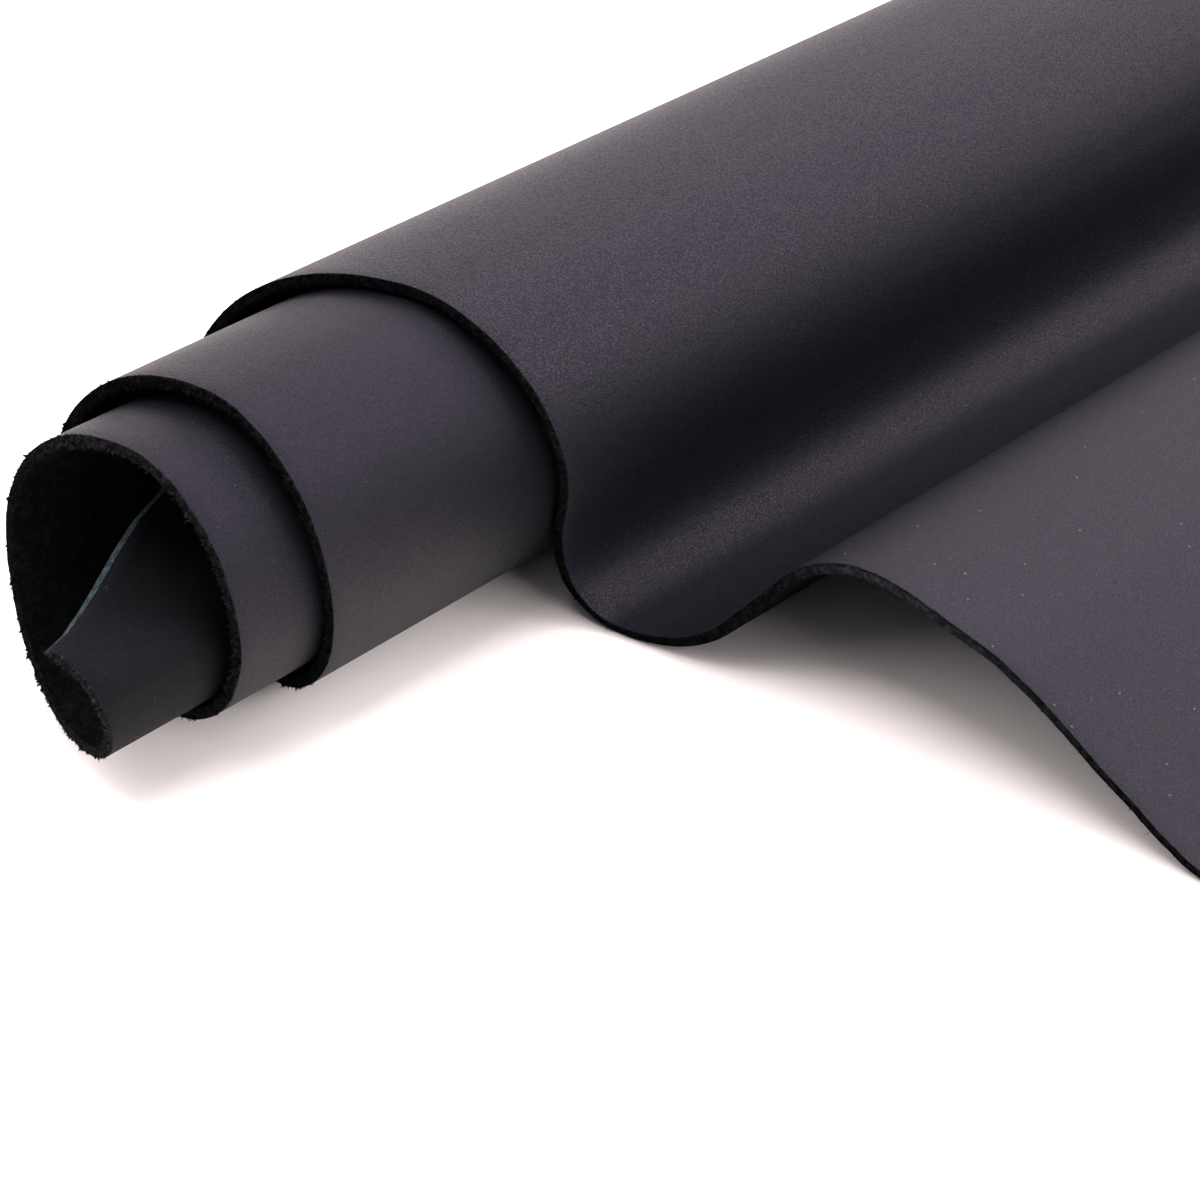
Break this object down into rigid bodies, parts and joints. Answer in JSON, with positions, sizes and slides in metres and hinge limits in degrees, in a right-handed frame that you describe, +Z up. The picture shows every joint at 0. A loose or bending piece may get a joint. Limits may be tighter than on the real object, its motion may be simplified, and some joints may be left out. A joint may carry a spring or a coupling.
{
  "type": "rolled leather hide",
  "caption": "Piece of thick black leather with a fine grain, rolled askew so its turns step out at one end, its loose end laid out over a trough and a ridge.",
  "frame": {"origin": "middle of the box around the piece, at the surface it lies on", "axes": "+Z up, +Y along the roll away from the end where the inner turns step out, +X towards the loose end"},
  "size_m": [0.2952, 0.5466, 0.0715],
  "materials": {
    "black_leather": "semi-matte, fine grain, fibrous black flesh side and edges"
  },
  "bodies": {
    "root": {"hide": "black_leather"}
  },
  "joints": []
}
